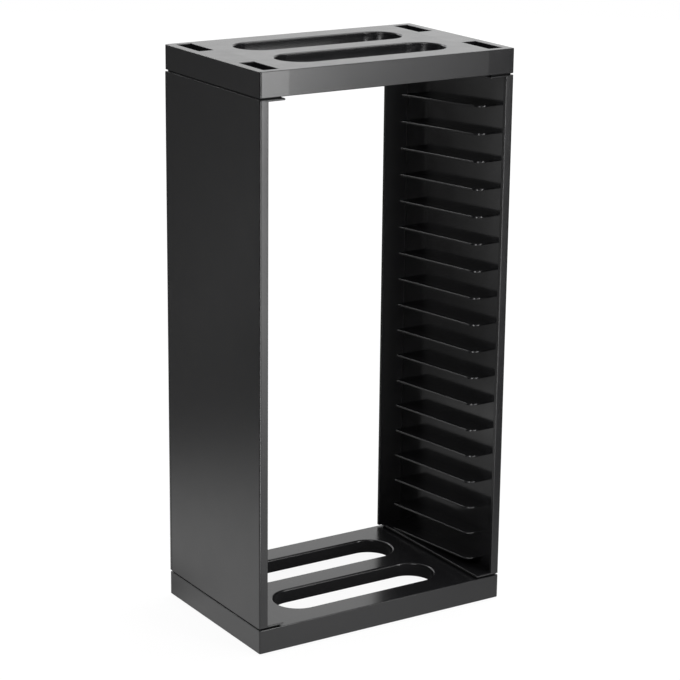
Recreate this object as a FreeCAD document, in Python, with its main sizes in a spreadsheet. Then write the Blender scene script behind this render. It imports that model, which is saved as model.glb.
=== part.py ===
import FreeCAD, Part
import math
import os
import Sketcher

# A free-standing storage tower for disc cases, in millimetres.
# Two equal end panels, a mirrored pair of side panels with sloping shelf ribs, and four rubber feet.
# The tower's own frame has +Z up, the open front at -Y, and its origin under the middle of the base.

SIZES = (
    ("tower_width", 205.0, "over the outer faces of the side panels"),
    ("tower_depth", 131.0, "from the front face to the back face"),
    ("tower_height", 410.0, "from the lower edge of the base panel to the top face"),
    ("panel_height", 17.6, "height of an end panel over its skirt"),
    ("panel_skin", 2.6, "top wall of an end panel"),
    ("skirt_wall", 2.4, "outer wall of an end panel"),
    ("corner_round", 1.4, "rounding of the tower's upright corners"),
    ("upper_edge_bevel", 0.8, "bevel of an end panel's upper edges"),
    ("lower_edge_bevel", 0.5, "bevel of an end panel's lower edges"),
    ("slot_end_bar", 36.0, "side face to the round end of a slot"),
    ("slot_edge_bar", 19.7, "front or back face to the near side of a slot"),
    ("slot_middle_bar", 19.6, "bar between the two slots"),
    ("slot_edge_bevel", 1.2, "bevel of a slot's upper edge"),
    ("well_depth", 10.2, "how far a slot's own wall reaches below the top face"),
    ("well_wall", 2.0, "thickness of a slot's own wall"),
    ("socket_width", 11.8, "across a corner socket"),
    ("socket_length", 32.6, "front to back of a corner socket"),
    ("socket_side_inset", 6.1, "side face to the near wall of a socket"),
    ("socket_end_inset", 5.9, "front or back face to the near wall of a socket"),
    ("socket_wall", 1.6, "wall round a socket"),
    ("stiffener_wall", 1.6, "thickness of a cross rib under an end panel"),
    ("stiffener_depth", 8.0, "how far a cross rib reaches below the top face"),
    ("stiffener_pitch", 45.0, "spacing of the cross ribs"),
    ("stiffener_count", 3, "cross ribs under an end panel"),
    ("foot_sole", 0.8, "thickness of a foot's sole, which lifts the base panel off the floor"),
    ("foot_lip", 1.4, "how far a foot's sole reaches past its socket"),
    ("foot_stem", 5.2, "how far a foot reaches up into its socket"),
    ("foot_clearance", 0.2, "gap between a foot's stem and its socket"),
    ("side_skin", 2.6, "outer wall of a side panel"),
    ("rim_width", 6.7, "front rim of a side panel, measured across the tower"),
    ("rim_depth", 3.0, "front rim of a side panel, measured front to back"),
    ("stop_width", 21.8, "back stop of a side panel, measured across the tower"),
    ("stop_thickness", 2.6, "back stop of a side panel"),
    ("flange_lip", 1.6, "how far the top and bottom flanges reach past the sockets"),
    ("flange_thickness", 2.6, "top and bottom flange of a side panel"),
    ("joint_gap", 1.2, "height of the shadow gap between a side panel and an end panel"),
    ("joint_step", 2.6, "how far the shadow gap runs in from the tower's front and back"),
    ("joint_side_step", 1.0, "how far the shadow gap runs in from the tower's sides"),
    ("plug_height", 8.0, "how far a plug stands out of its flange"),
    ("plug_wall", 1.8, "wall of a hollow plug"),
    ("plug_clearance", 0.25, "gap between a plug and its socket"),
    ("plug_lead_in", 0.8, "chamfer round the tip of a plug"),
    ("shelf_pitch", 20.0, "height from one shelf rib to the next"),
    ("shelf_tilt", 4.2, "slope of the shelf ribs, down towards the back, in degrees"),
    ("shelf_thickness", 1.5, "shelf rib"),
    ("shelf_reach", 17.6, "outer face of the side panel to the free edge of a shelf rib"),
    ("shelf_front_inset", 16.4, "front face to the front edge of a shelf rib"),
    ("shelf_back_inset", 16.4, "back face to the back end of a shelf rib"),
    ("shelf_front_round", 6.3, "front corner of a shelf rib, in plan"),
    ("shelf_back_round", 1.5, "back corner of a shelf rib, in plan"),
    ("lowest_shelf_height", 2.7, "lower end of the side panel to the back end of the lowest shelf rib"),
    ("top_bay_height", 30.0, "least room over the back end of the highest shelf rib"),
    ("overrun", 5.0, "how far a through cut runs past the solid"),
)

HALF_WIDTH = "sizes.tower_width / 2"
HALF_DEPTH = "sizes.tower_depth / 2"
SIDE_HEIGHT = "(sizes.tower_height - 2 * sizes.panel_height)"
SLOT_LENGTH = "(sizes.tower_width - 2 * sizes.slot_end_bar)"
SLOT_WIDTH = "(sizes.tower_depth - 2 * sizes.slot_edge_bar - sizes.slot_middle_bar) / 2"
SLOT_OFFSET = "(sizes.tower_depth - 2 * sizes.slot_edge_bar + sizes.slot_middle_bar) / 4"
FLANGE_WIDTH = "sizes.socket_side_inset + sizes.socket_width + sizes.flange_lip"
SHELF_STEPS = (
    f"floor(({SIDE_HEIGHT} - sizes.lowest_shelf_height - sizes.top_bay_height) / sizes.shelf_pitch)"
)
SIGNS = (-1, 1)
UP = FreeCAD.Vector(0, 0, 1)
RIGHT_ANGLE = math.pi / 2

doc = FreeCAD.newDocument("storage_tower")


def fill_sheet():
    """Write every driving size into the sheet, with its alias and what it measures."""
    sheet = doc.addObject("Spreadsheet::Sheet", "sizes")
    for row, (alias, size, meaning) in enumerate(SIZES, start=1):
        sheet.set(f"A{row}", alias)
        sheet.set(f"B{row}", str(size))
        sheet.set(f"C{row}", meaning)
        sheet.setAlias(f"B{row}", alias)
    doc.recompute()


def origin_feature(body, role):
    """The plane or axis of a body's own origin that has this role."""
    return next(feature for feature in body.Origin.OriginFeatures if feature.Role == role)


def new_body(label, x, y, z):
    """A body whose placement follows three expressions."""
    body = doc.addObject("PartDesign::Body", label)
    body.Label = label
    for axis, expression in zip("xyz", (x, y, z)):
        body.setExpression(f"Placement.Base.{axis}", expression)
    return body


def new_sketch(body, name, height="0"):
    """A sketch parallel to the body's XY plane, at a height given by an expression."""
    sketch = body.newObject("Sketcher::SketchObject", name)
    sketch.AttachmentSupport = [(origin_feature(body, "XY_Plane"), "")]
    sketch.MapMode = "FlatFace"
    sketch.setExpression("AttachmentOffset.Base.z", height)
    return sketch


def bind(sketch, constraint, name, expression):
    """Add a dimension to a sketch and tie it to an expression."""
    index = sketch.addConstraint(constraint)
    sketch.renameConstraint(index, name)
    sketch.setExpression(f"Constraints.{name}", expression)


def place_point(sketch, name, geometry, point, x, y):
    """Hold one point of a sketch at two expressions measured from the sketch's origin."""
    across = sketch.evalExpression(x)
    along = sketch.evalExpression(y)
    bind(sketch, Sketcher.Constraint("DistanceX", -1, 1, geometry, point, across), name + "_x", x)
    bind(sketch, Sketcher.Constraint("DistanceY", -1, 1, geometry, point, along), name + "_y", y)


def draw_outline(sketch, name, corners):
    """Draw a closed outline of straight lines through corners given as pairs of expressions."""
    first = sketch.GeometryCount
    places = [FreeCAD.Vector(*(sketch.evalExpression(part) for part in corner)) for corner in corners]
    count = len(corners)
    for step in range(count):
        sketch.addGeometry(Part.LineSegment(places[step], places[(step + 1) % count]))
    for step in range(count):
        follower = first + (step + 1) % count
        sketch.addConstraint(Sketcher.Constraint("Coincident", first + step, 2, follower, 1))
    for step, (x, y) in enumerate(corners):
        place_point(sketch, f"{name}_{step}", first + step, 1, x, y)


def draw_rectangle(sketch, name, west, east, south, north):
    """Draw a rectangle whose sides stand at four expressions."""
    draw_outline(sketch, name, ((west, south), (east, south), (east, north), (west, north)))


def draw_obround(sketch, name, y, length, width):
    """Draw a round-ended slot along X, centred on the sketch's Y axis at the height y."""
    radius = sketch.evalExpression(width) / 2
    middle = sketch.evalExpression(y)
    reach = sketch.evalExpression(length) / 2 - radius
    east = FreeCAD.Vector(reach, middle)
    west = FreeCAD.Vector(-reach, middle)
    rise = FreeCAD.Vector(0, radius)
    first = sketch.GeometryCount
    sketch.addGeometry(Part.LineSegment(west - rise, east - rise))
    sketch.addGeometry(Part.ArcOfCircle(Part.Circle(east, UP, radius), -RIGHT_ANGLE, RIGHT_ANGLE))
    sketch.addGeometry(Part.LineSegment(east + rise, west + rise))
    sketch.addGeometry(Part.ArcOfCircle(Part.Circle(west, UP, radius), RIGHT_ANGLE, 3 * RIGHT_ANGLE))
    for step in range(4):
        follower = first + (step + 1) % 4
        sketch.addConstraint(Sketcher.Constraint("Tangent", first + step, 2, follower, 1))
    half_reach = f"({length} - {width}) / 2"
    place_point(sketch, name + "_east", first + 1, 3, half_reach, y)
    place_point(sketch, name + "_west", first + 3, 3, f"-1 * {half_reach}", y)
    bind(sketch, Sketcher.Constraint("Radius", first + 1, radius), name + "_radius", f"({width}) / 2")


def add_pad(body, sketch, length, downward=False, symmetric=False):
    """Pad a sketch by an expression, upwards unless told otherwise."""
    pad = body.newObject("PartDesign::Pad", sketch.Name + "_pad")
    pad.Profile = sketch
    pad.SideType = "Symmetric" if symmetric else "One side"
    pad.Reversed = downward
    pad.setExpression("Length", length)
    return pad


def cut_upward(body, sketch, depth):
    """Cut a sketch upwards into the body by an expression, and make sure that it removed material."""
    doc.recompute()
    before = body.Shape.Volume
    pocket = body.newObject("PartDesign::Pocket", sketch.Name + "_pocket")
    pocket.Profile = sketch
    pocket.Reversed = True
    pocket.setExpression("Length", depth)
    doc.recompute()
    if body.Shape.Volume >= before:
        raise RuntimeError(f"{pocket.Label} cut nothing from {body.Label}")
    return pocket


def dress_edges(body, kind, name, chosen):
    """Start a fillet or chamfer on the edges of the body's present shape that a test picks out."""
    doc.recompute()
    base = body.Tip
    edges = [f"Edge{index}" for index, edge in enumerate(base.Shape.Edges, start=1) if chosen(edge)]
    feature = body.newObject(f"PartDesign::{kind}", f"{body.Label}_{name}")
    feature.Base = (base, edges)
    return feature


def round_edges(body, name, radius, chosen):
    """Round the edges that a test picks out, with the radius tied to an expression."""
    fillet = dress_edges(body, "Fillet", name, chosen)
    fillet.setExpression("Radius", radius)


def bevel_edges(body, name, size, chosen):
    """Bevel the edges that a test picks out, with the size tied to an expression."""
    chamfer = dress_edges(body, "Chamfer", name, chosen)
    chamfer.setExpression("Size", size)


def value(expression):
    """The present value of an expression on the sheet."""
    return doc.sizes.evalExpression(expression)


def lies_at(edge, axis, *heights):
    """Whether a whole edge lies at one of the given places along an axis."""
    box = edge.BoundBox
    low = getattr(box, axis + "Min")
    high = getattr(box, axis + "Max")
    near = Part.Precision.approximation()
    return any(max(abs(low - height), abs(high - height)) < near for height in heights)


def socket_side(sign):
    """Expressions for the two sides of a socket across the tower, the lower one first."""
    outer = f"{sign} * ({HALF_WIDTH} - sizes.socket_side_inset)"
    inner = f"{sign} * ({HALF_WIDTH} - sizes.socket_side_inset - sizes.socket_width)"
    return sorted((outer, inner), key=value)


def socket_end(sign):
    """Expressions for the two ends of a socket front to back, the lower one first."""
    outer = f"{sign} * ({HALF_DEPTH} - sizes.socket_end_inset)"
    inner = f"{sign} * ({HALF_DEPTH} - sizes.socket_end_inset - sizes.socket_length)"
    return sorted((outer, inner), key=value)


def draw_cavity(sketch):
    """Draw the hollow under an end panel: its skirt's inside, less a block round each corner socket."""
    wall_x = f"({HALF_WIDTH} - sizes.skirt_wall)"
    wall_y = f"({HALF_DEPTH} - sizes.skirt_wall)"
    notch_x = f"({HALF_WIDTH} - sizes.socket_side_inset - sizes.socket_width - sizes.socket_wall)"
    notch_y = f"({HALF_DEPTH} - sizes.socket_end_inset - sizes.socket_length - sizes.socket_wall)"
    quadrant = ((wall_x, notch_y), (notch_x, notch_y), (notch_x, wall_y))
    corners = []
    for sign_x, sign_y in ((1, -1), (1, 1), (-1, 1), (-1, -1)):
        run = [(f"{sign_x} * {x}", f"{sign_y} * {y}") for x, y in quadrant]
        corners += run if sign_x == sign_y else run[::-1]
    draw_outline(sketch, "cavity", corners)


def draw_corner_cells(sketch):
    """Draw the narrow cells between each socket's walls and the skirt, beside it and at its end."""
    side_wall = f"({HALF_WIDTH} - sizes.skirt_wall)"
    end_wall = f"({HALF_DEPTH} - sizes.skirt_wall)"
    cell_side = f"({HALF_WIDTH} - sizes.socket_side_inset + sizes.socket_wall)"
    cell_end = f"({HALF_DEPTH} - sizes.socket_end_inset + sizes.socket_wall)"
    for sign_x in SIGNS:
        for sign_y in SIGNS:
            name = f"{'west' if sign_x < 0 else 'east'}_{'front' if sign_y < 0 else 'back'}"
            across = sorted((f"{sign_x} * {side_wall}", f"{sign_x} * {cell_side}"), key=value)
            along = sorted((f"{sign_y} * {end_wall}", f"{sign_y} * {cell_end}"), key=value)
            draw_rectangle(sketch, name + "_side", *across, *socket_end(sign_y))
            draw_rectangle(sketch, name + "_end", *socket_side(sign_x), *along)


def make_end_panel(label, height):
    """One hollow end panel with its skin up, two slots and four corner sockets."""
    body = new_body(label, "0", "0", height)
    outline = new_sketch(body, label + "_outline")
    west, east = f"-1 * {HALF_WIDTH}", HALF_WIDTH
    front, back = f"-1 * {HALF_DEPTH}", HALF_DEPTH
    draw_rectangle(outline, "outline", west, east, front, back)
    add_pad(body, outline, "sizes.panel_height")

    top = value("sizes.panel_height")
    round_edges(body, "corner_round", "sizes.corner_round", lambda edge: not lies_at(edge, "Z", 0, top))
    bevel_edges(body, "upper_bevel", "sizes.upper_edge_bevel", lambda edge: lies_at(edge, "Z", top))
    bevel_edges(body, "lower_bevel", "sizes.lower_edge_bevel", lambda edge: lies_at(edge, "Z", 0))

    hollow = new_sketch(body, label + "_hollow")
    draw_cavity(hollow)
    draw_corner_cells(hollow)
    cut_upward(body, hollow, "sizes.panel_height - sizes.panel_skin")

    wells = new_sketch(body, label + "_wells", "sizes.panel_height - sizes.well_depth")
    stiffener = new_sketch(body, label + "_stiffener", "sizes.panel_height - sizes.stiffener_depth")
    slots = new_sketch(body, label + "_slots", "-1 * sizes.overrun")
    for sign in SIGNS:
        name = "front" if sign < 0 else "back"
        middle = f"{sign} * {SLOT_OFFSET}"
        outer_length = f"({SLOT_LENGTH} + 2 * sizes.well_wall)"
        outer_width = f"({SLOT_WIDTH} + 2 * sizes.well_wall)"
        draw_obround(wells, name, middle, outer_length, outer_width)
        draw_obround(slots, name, middle, SLOT_LENGTH, SLOT_WIDTH)
    add_pad(body, wells, "sizes.well_depth - sizes.panel_skin / 2")

    first_rib = "-1 * sizes.stiffener_pitch * (sizes.stiffener_count - 1) / 2"
    draw_rectangle(
        stiffener,
        "stiffener",
        f"{first_rib} - sizes.stiffener_wall / 2",
        f"{first_rib} + sizes.stiffener_wall / 2",
        f"{front} + sizes.skirt_wall / 2",
        f"{back} - sizes.skirt_wall / 2",
    )
    rib = add_pad(body, stiffener, "sizes.stiffener_depth - sizes.panel_skin / 2")
    ribs = body.newObject("PartDesign::LinearPattern", label + "_stiffeners")
    ribs.Originals = [rib]
    ribs.Direction = (origin_feature(body, "X_Axis"), [""])
    ribs.setExpression("Length", "sizes.stiffener_pitch * (sizes.stiffener_count - 1)")
    ribs.setExpression("Occurrences", "sizes.stiffener_count")
    body.Tip = ribs

    sockets = new_sketch(body, label + "_sockets", "-1 * sizes.overrun")
    for sign_x in SIGNS:
        for sign_y in SIGNS:
            name = f"{'west' if sign_x < 0 else 'east'}_{'front' if sign_y < 0 else 'back'}"
            draw_rectangle(sockets, name, *socket_side(sign_x), *socket_end(sign_y))
    cut_upward(body, sockets, "sizes.panel_height + 2 * sizes.overrun")
    cut_upward(body, slots, "sizes.panel_height + 2 * sizes.overrun")

    reach = value(f"{SLOT_LENGTH} / 2")
    inside_end = value(f"{HALF_DEPTH} - sizes.socket_end_inset")

    def on_slot_rim(edge):
        """Whether an edge runs round a slot on the top face."""
        middle = edge.CenterOfMass
        within = abs(middle.x) <= reach and abs(middle.y) < inside_end
        return lies_at(edge, "Z", top) and within

    bevel_edges(body, "slot_bevel", "sizes.slot_edge_bevel", on_slot_rim)
    return body


def make_feet():
    """Four rubber feet, each pushed up into a socket of the base panel as far as its sole."""
    sole_x = "(sizes.socket_width / 2 + sizes.foot_lip)"
    sole_y = "(sizes.socket_length / 2 + sizes.foot_lip)"
    stem_x = "(sizes.socket_width / 2 - sizes.foot_clearance)"
    stem_y = "(sizes.socket_length / 2 - sizes.foot_clearance)"
    feet = []
    for sign_y, row in zip(SIGNS, ("front", "back")):
        for sign_x, side in zip(SIGNS, ("left", "right")):
            name = f"foot_{row}_{side}"
            x = f"{sign_x} * ({HALF_WIDTH} - sizes.socket_side_inset - sizes.socket_width / 2)"
            y = f"{sign_y} * ({HALF_DEPTH} - sizes.socket_end_inset - sizes.socket_length / 2)"
            body = new_body(name, x, y, "0")
            sole = new_sketch(body, name + "_sole")
            draw_rectangle(sole, "sole", f"-1 * {sole_x}", sole_x, f"-1 * {sole_y}", sole_y)
            add_pad(body, sole, "sizes.foot_sole")
            thick = value("sizes.foot_sole")
            round_edges(body, "corner_round", "sizes.foot_lip", lambda edge: not lies_at(edge, "Z", 0, thick))
            stem = new_sketch(body, name + "_stem", "sizes.foot_sole")
            draw_rectangle(stem, "stem", f"-1 * {stem_x}", stem_x, f"-1 * {stem_y}", stem_y)
            add_pad(body, stem, "sizes.foot_stem")
            feet.append(body)
    return feet


def draw_shelf(sketch):
    """Draw a shelf rib in plan: rooted in the skin, a large front corner and a small back corner."""
    root = "sizes.side_skin / 2"
    tip = "sizes.shelf_reach"
    run = "(sizes.tower_depth - sizes.shelf_front_inset - sizes.shelf_back_inset)"
    front = f"-1 * {run} / cos(sizes.shelf_tilt * 1 deg)"
    front_round = sketch.evalExpression("sizes.shelf_front_round")
    back_round = sketch.evalExpression("sizes.shelf_back_round")
    root_x, tip_x, front_y = (sketch.evalExpression(part) for part in (root, tip, front))
    front_middle = FreeCAD.Vector(tip_x - front_round, front_y + front_round)
    back_middle = FreeCAD.Vector(tip_x - back_round, -back_round)
    root_front = FreeCAD.Vector(root_x, front_y)
    root_back = FreeCAD.Vector(root_x, 0)
    sketch.addGeometry(Part.LineSegment(root_front, FreeCAD.Vector(front_middle.x, front_y)))
    sketch.addGeometry(Part.ArcOfCircle(Part.Circle(front_middle, UP, front_round), -RIGHT_ANGLE, 0))
    tip_front = FreeCAD.Vector(tip_x, front_middle.y)
    tip_back = FreeCAD.Vector(tip_x, back_middle.y)
    sketch.addGeometry(Part.LineSegment(tip_front, tip_back))
    sketch.addGeometry(Part.ArcOfCircle(Part.Circle(back_middle, UP, back_round), 0, RIGHT_ANGLE))
    sketch.addGeometry(Part.LineSegment(FreeCAD.Vector(back_middle.x, 0), root_back))
    sketch.addGeometry(Part.LineSegment(root_back, root_front))
    for step in range(4):
        sketch.addConstraint(Sketcher.Constraint("Tangent", step, 2, step + 1, 1))
    sketch.addConstraint(Sketcher.Constraint("Coincident", 4, 2, 5, 1))
    sketch.addConstraint(Sketcher.Constraint("Coincident", 5, 2, 0, 1))
    sketch.addConstraint(Sketcher.Constraint("Vertical", 2))
    place_point(sketch, "root_front", 0, 1, root, front)
    place_point(sketch, "root_back", 4, 2, root, "0")
    bind(sketch, Sketcher.Constraint("DistanceX", -1, 1, 2, 1, tip_x), "tip", tip)
    bind(sketch, Sketcher.Constraint("Radius", 1, front_round), "front_round", "sizes.shelf_front_round")
    bind(sketch, Sketcher.Constraint("Radius", 3, back_round), "back_round", "sizes.shelf_back_round")


def draw_plugs(sketch):
    """Draw the two hollow plugs of a flange, each the size of its socket less the clearance."""
    near = "sizes.socket_side_inset + sizes.plug_clearance"
    far = "sizes.socket_side_inset + sizes.socket_width - sizes.plug_clearance"
    low = "sizes.socket_end_inset + sizes.plug_clearance"
    high = "sizes.socket_end_inset + sizes.socket_length - sizes.plug_clearance"
    for name, start, end in (
        ("front", low, high),
        ("back", f"sizes.tower_depth - ({high})", f"sizes.tower_depth - ({low})"),
    ):
        draw_rectangle(sketch, name, near, far, start, end)
        core_across = (f"{near} + sizes.plug_wall", f"{far} - sizes.plug_wall")
        core_along = (f"{start} + sizes.plug_wall", f"{end} - sizes.plug_wall")
        draw_rectangle(sketch, name + "_core", *core_across, *core_along)


def add_shadow_gap(body, name, height):
    """Cut a step round one end of a side panel, so that only a platform inside it meets the end panel."""
    step = new_sketch(body, f"{name}_step", height)
    past = "sizes.overrun"
    far = f"sizes.tower_depth + {past}"
    draw_rectangle(step, "around", f"-1 * {past}", f"sizes.stop_width + {past}", f"-1 * {past}", far)
    inner = f"{FLANGE_WIDTH} - sizes.flange_lip"
    back = "sizes.tower_depth - sizes.joint_step"
    draw_rectangle(step, "platform", "sizes.joint_side_step", inner, "sizes.joint_step", back)
    cut_upward(body, step, f"sizes.joint_gap + {past}")


def make_left_side_panel():
    """The left side panel, drawn from its own outer front lower corner, inwards and backwards."""
    lower_end = "sizes.foot_sole + sizes.panel_height"
    body = new_body("left_side_panel", f"-1 * {HALF_WIDTH}", f"-1 * {HALF_DEPTH}", lower_end)
    section = new_sketch(body, "side_section")
    stop_front = "sizes.tower_depth - sizes.stop_thickness"
    draw_outline(
        section,
        "section",
        (
            ("0", "0"),
            ("sizes.rim_width", "0"),
            ("sizes.rim_width", "sizes.rim_depth"),
            ("sizes.side_skin", "sizes.rim_depth"),
            ("sizes.side_skin", stop_front),
            ("sizes.stop_width", stop_front),
            ("sizes.stop_width", "sizes.tower_depth"),
            ("0", "sizes.tower_depth"),
        ),
    )
    add_pad(body, section, SIDE_HEIGHT)
    for name, height in (("bottom", "0"), ("top", f"{SIDE_HEIGHT} - sizes.flange_thickness")):
        flange = new_sketch(body, f"{name}_flange", height)
        draw_rectangle(flange, "flange", "0", FLANGE_WIDTH, "0", "sizes.tower_depth")
        add_pad(body, flange, "sizes.flange_thickness")

    top = value(SIDE_HEIGHT)
    depth = value("sizes.tower_depth")

    def on_outer_corner(edge):
        """Whether an edge is an upright corner of the outer face."""
        return lies_at(edge, "X", 0) and lies_at(edge, "Y", 0, depth)

    round_edges(body, "corner_round", "sizes.corner_round", on_outer_corner)
    add_shadow_gap(body, "bottom", "-1 * sizes.overrun")
    add_shadow_gap(body, "top", f"{SIDE_HEIGHT} - sizes.joint_gap")

    shelf = new_sketch(body, "shelf")
    down_to_back = FreeCAD.Rotation(FreeCAD.Vector(-1, 0, 0), value("sizes.shelf_tilt"))
    shelf.AttachmentOffset = FreeCAD.Placement(FreeCAD.Vector(), down_to_back)
    shelf.setExpression("AttachmentOffset.Base.y", "sizes.tower_depth - sizes.shelf_back_inset")
    shelf.setExpression("AttachmentOffset.Base.z", "sizes.lowest_shelf_height")
    shelf.setExpression("AttachmentOffset.Rotation.Angle", "sizes.shelf_tilt")
    draw_shelf(shelf)
    rib = add_pad(body, shelf, "sizes.shelf_thickness", symmetric=True)
    shelves = body.newObject("PartDesign::LinearPattern", "shelves")
    shelves.Originals = [rib]
    shelves.Direction = (origin_feature(body, "Z_Axis"), [""])
    shelves.setExpression("Length", f"sizes.shelf_pitch * {SHELF_STEPS}")
    shelves.setExpression("Occurrences", f"{SHELF_STEPS} + 1")
    body.Tip = shelves

    for name, height, downward in (("bottom", "0", True), ("top", SIDE_HEIGHT, False)):
        plugs = new_sketch(body, f"{name}_plugs", height)
        draw_plugs(plugs)
        add_pad(body, plugs, "sizes.plug_height", downward=downward)
    reach = value("sizes.plug_height")
    near = value("sizes.socket_side_inset + sizes.plug_clearance")
    far = value("sizes.socket_side_inset + sizes.socket_width - sizes.plug_clearance")
    low = value("sizes.socket_end_inset + sizes.plug_clearance")
    high = value("sizes.socket_end_inset + sizes.socket_length - sizes.plug_clearance")

    def on_plug_tip(edge):
        """Whether an edge runs round the outside of a plug's tip."""
        outside = lies_at(edge, "X", near, far) or lies_at(edge, "Y", low, high, depth - low, depth - high)
        return lies_at(edge, "Z", -reach, top + reach) and outside

    bevel_edges(body, "lead_in", "sizes.plug_lead_in", on_plug_tip)
    return body


def make_right_side_panel(left):
    """The right side panel, the left one's mirror image across the middle of the tower."""
    right = doc.addObject("Part::Mirroring", "right_side_panel")
    right.Label = "right_side_panel"
    right.Source = left
    right.Normal = FreeCAD.Vector(1, 0, 0)
    return right


def check_and_write(parts):
    """Stop if anything failed to build, then write each piece to a file of its own name."""
    doc.recompute()
    for thing in doc.Objects:
        if {"Invalid", "Error"} & set(thing.State):
            raise RuntimeError(f"{thing.Label} failed to build")
    for part in parts:
        if part.Shape.isNull() or not part.Shape.isValid() or len(part.Shape.Solids) != 1:
            raise RuntimeError(f"{part.Label} isn't one sound solid")
    os.makedirs("parts", exist_ok=True)
    for part in parts:
        part.Shape.exportStep(f"parts/{part.Label}.step")
        box = part.Shape.BoundBox
        print(f"{part.Label}: {part.Shape.Volume:.0f} mm3, z {box.ZMin:.2f} to {box.ZMax:.2f}")


fill_sheet()
base_panel = make_end_panel("base_panel", "sizes.foot_sole")
top_panel = make_end_panel("top_panel", "sizes.foot_sole + sizes.tower_height - sizes.panel_height")
left_panel = make_left_side_panel()
right_panel = make_right_side_panel(left_panel)
check_and_write([base_panel, top_panel, left_panel, right_panel, *make_feet()])
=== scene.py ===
"""Looks for a storage tower for disc cases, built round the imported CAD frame.

The pieces are in millimetres, and the finishes and the studio in metres. +X is to the tower's right, +Y
to its back and +Z up, with the origin on the floor under the middle of the base.
"""
import logging
import math
from dataclasses import dataclass
from enum import Enum
from functools import reduce
from typing import Any

import bpy
import numpy as np
from mathutils import Matrix, Vector
from mathutils.geometry import tessellate_polygon


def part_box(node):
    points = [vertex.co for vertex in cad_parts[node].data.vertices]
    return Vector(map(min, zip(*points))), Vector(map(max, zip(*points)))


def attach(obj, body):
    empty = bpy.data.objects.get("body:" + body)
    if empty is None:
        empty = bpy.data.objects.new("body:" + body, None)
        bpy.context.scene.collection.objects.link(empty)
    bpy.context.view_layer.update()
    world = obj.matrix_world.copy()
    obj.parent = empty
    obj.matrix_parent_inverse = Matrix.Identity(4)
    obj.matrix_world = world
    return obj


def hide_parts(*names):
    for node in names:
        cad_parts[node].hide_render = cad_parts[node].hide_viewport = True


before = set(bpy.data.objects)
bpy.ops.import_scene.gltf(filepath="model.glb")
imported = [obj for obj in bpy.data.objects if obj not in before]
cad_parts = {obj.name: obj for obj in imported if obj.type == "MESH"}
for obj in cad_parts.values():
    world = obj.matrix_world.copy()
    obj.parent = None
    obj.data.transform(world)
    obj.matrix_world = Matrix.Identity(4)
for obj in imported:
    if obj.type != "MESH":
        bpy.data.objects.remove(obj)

LOG = logging.getLogger("storage_tower")
Array = np.ndarray
Colour = tuple[float, float, float, float]
Place = tuple[float, float, float]
Span = tuple[float, float]
Noise = tuple[float, float, float]
Socket = bpy.types.NodeSocket

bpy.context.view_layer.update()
MM = 0.001  # metres in a millimetre
WELD = 0.001  # the size of the cells whose points are welded
WELD_OFFSET = 0.137  # keeps round coordinates away from the edges of those cells
LEAST_ROUND = 0.02  # the smallest corner radius of a carried profile
LEAST_HEIGHT = 0.000001  # a triangle that is lower than this is a sliver
LEAST_AHEAD = 0.001  # what a slant is divided by at the least
SHARP_ANGLE = math.radians(32.0)
QUARTER = math.pi / 2
UP, DOWN = (0.0, 0.0, 1.0), (0.0, 0.0, -1.0)
FORWARD, BACKWARD = (0.0, -1.0, 0.0), (0.0, 1.0, 0.0)
WHITE = (1.0, 1.0, 1.0, 1.0)
RIB_CORNER = (0.085, -0.045)  # where the right ribs have their front corners
WALL_MIRROR = (1.0596, -1.3552)  # the camera's place, mirrored in the right inner wall
FINISH = "_finish"


class Side(Enum):
    """Which side of the tower a panel closes, with the sign of its place across the tower."""

    LEFT = -1
    RIGHT = 1


class Facing(Enum):
    """Which way a fan of painted floor light spreads, with the sign of that way along the tower's depth."""

    FRONT = -1
    BACK = 1


def arc(centre: Span, radius: float, begin: float, end: float, steps: int) -> Array:
    """Points on a circular arc of a profile.

    Each point is the centre plus the radius times the cosine and the sine of an angle that goes evenly
    from begin to end.

    Args:
        centre: the arc's centre in the profile's plane.
        radius: the arc's radius.
        begin: the first angle, in quarter turns.
        end: the last angle, in quarter turns.
        steps: how many chords the arc has.

    Returns:
        An array of steps + 1 points.
    """
    angle = np.linspace(begin, end, steps + 1) * QUARTER
    return np.asarray(centre) + radius * np.stack((np.cos(angle), np.sin(angle)), axis=-1)


def rounded_rectangles(half_x: Array, half_y: Array, radius: Array, steps: int) -> Array:
    """Anticlockwise loops of rounded rectangles about the origin, one for each entry of the sizes.

    Each corner is a quarter circle about a point set in from the corner by the radius, and the four
    quarters follow one another.

    Args:
        half_x: half of each rectangle's size in X.
        half_y: half of each rectangle's size in Y.
        radius: each rectangle's corner radius.
        steps: chords in each quarter circle.

    Returns:
        An array of loops, points and two coordinates.
    """
    half_x, half_y, radius = (size[:, None, None] for size in np.broadcast_arrays(half_x, half_y, radius))
    sign_x = np.array((1, -1, -1, 1))[None, :, None]
    sign_y = np.array((1, 1, -1, -1))[None, :, None]
    angle = (np.arange(4)[:, None] + np.linspace(0, 1, steps + 1)) * QUARTER
    x = sign_x * (half_x - radius) + radius * np.cos(angle)
    y = sign_y * (half_y - radius) + radius * np.sin(angle)
    return np.stack((x, y), axis=-1).reshape(len(x), -1, 2)


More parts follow.
